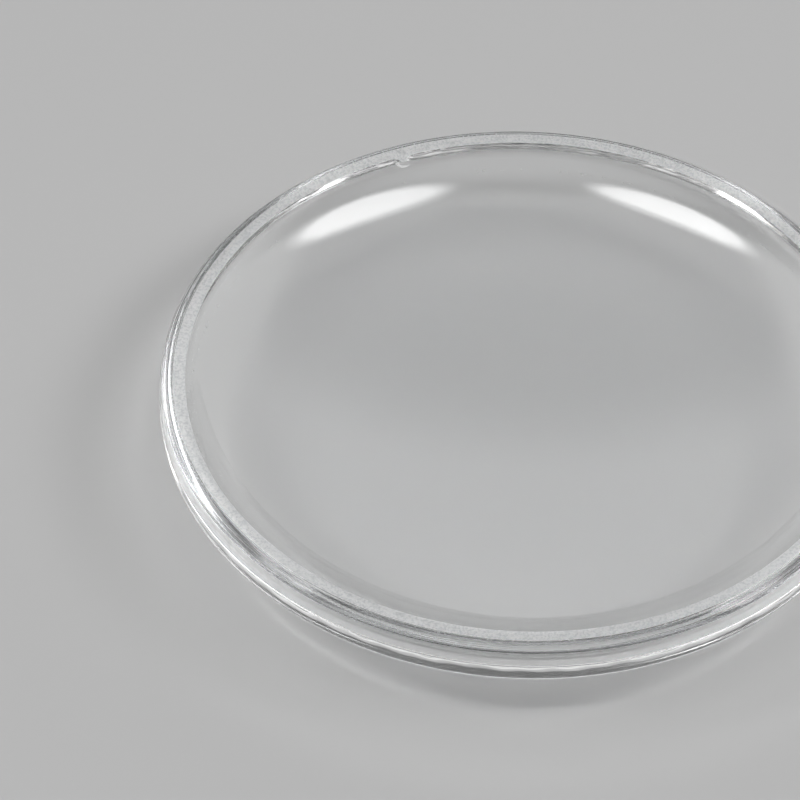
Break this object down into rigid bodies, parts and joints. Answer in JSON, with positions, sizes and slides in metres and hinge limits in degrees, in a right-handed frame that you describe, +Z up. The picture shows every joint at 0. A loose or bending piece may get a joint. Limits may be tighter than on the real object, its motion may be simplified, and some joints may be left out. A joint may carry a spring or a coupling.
{
  "type": "watch glass",
  "caption": "Shallow round dish of thick clear glass with a gently curved bottom, an edge that turns up, and a rounded rim with a flat ground ring on top.",
  "frame": {"origin": "lowest point of the convex underside, on the dish's axis, where it rests on a table", "axes": "+Z up along the dish's axis, out of the open bowl; X and Y are interchangeable, because the dish is round"},
  "size_m": [0.05, 0.05, 0.0088],
  "materials": {
    "clear_glass": "clear colourless glass, polished, with a matt ground flat on top of the rim, fine grinding lines on the rounding beside it and a satin upright wall"
  },
  "bodies": {
    "root": {"dish": "clear_glass"}
  },
  "joints": []
}
